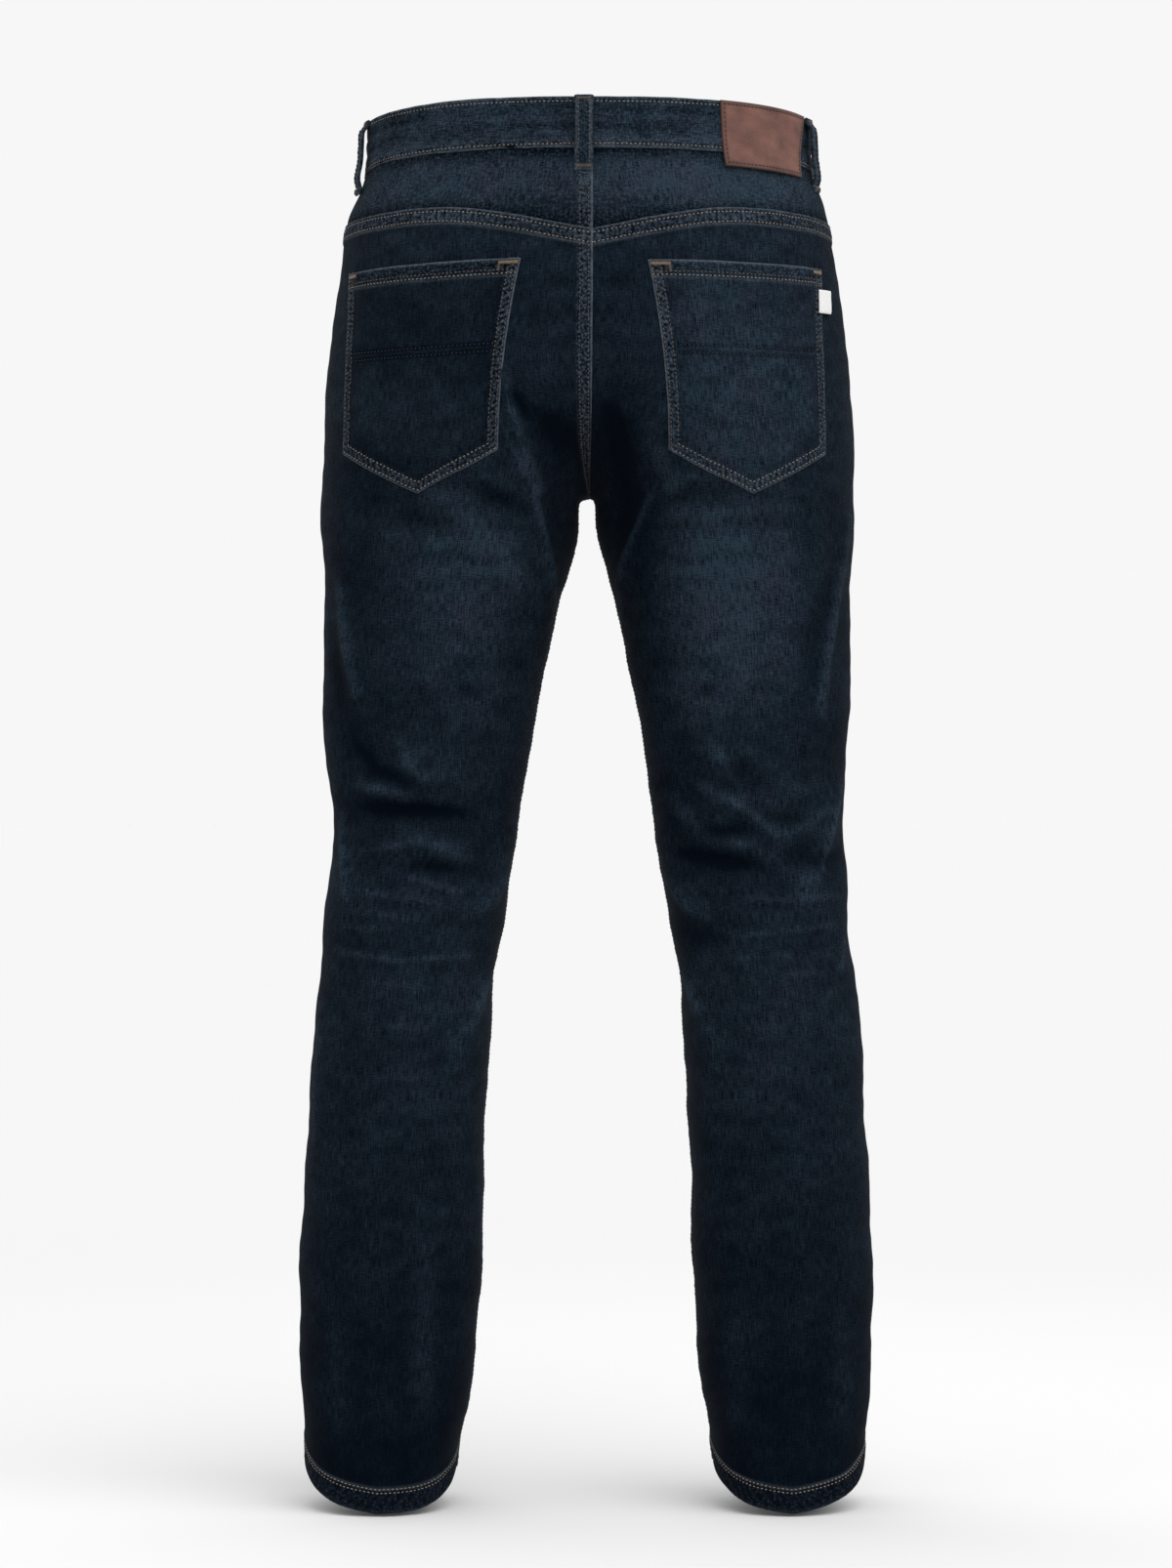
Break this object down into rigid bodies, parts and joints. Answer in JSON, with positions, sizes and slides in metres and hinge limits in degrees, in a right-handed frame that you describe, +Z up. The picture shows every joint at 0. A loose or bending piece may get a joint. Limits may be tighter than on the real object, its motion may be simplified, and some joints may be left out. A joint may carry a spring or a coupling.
{
  "type": "straight leg jeans",
  "caption": "Straight leg denim jeans in a worn, hollow shape, with back yokes, patch pockets, a waistband with belt loops, a lapped fly and turned-up hems.",
  "frame": {"origin": "middle of the waist opening at half the waistband's height, where the wearer holds the jeans up", "axes": "+Z up through the waist opening, +Y to the front with the fly, -Y to the seat with the back pockets, +X to the wearer's right"},
  "size_m": [0.4548, 0.2497, 1.0976],
  "materials": {
    "denim": "dark indigo stretch denim, brushed, lightly faded over the thighs and calves",
    "leather": "brown leather, bare",
    "label": "white woven tab, bare",
    "zip_tape": "dark woven zip tape",
    "metal": "antique brass",
    "thread": "tan topstitching thread"
  },
  "bodies": {
    "root": {"back_left": "denim", "back_right": "denim", "front_left": "denim", "front_right": "denim", "yoke_left": "denim", "yoke_right": "denim", "pocket_facing_left": "denim", "pocket_facing_right": "denim", "back_pocket_left": "denim", "back_pocket_right": "denim", "waistband": "denim", "belt_loop_back": "denim", "belt_loop_side_left": "denim", "belt_loop_side_right": "denim", "belt_loop_front_left": "denim", "belt_loop_front_right": "denim", "leather_patch": "leather", "pocket_tab": "label", "waist_button": "metal", "zip": "zip_tape", "zip_slider": "metal", "fly_shield": "denim"}
  },
  "joints": []
}
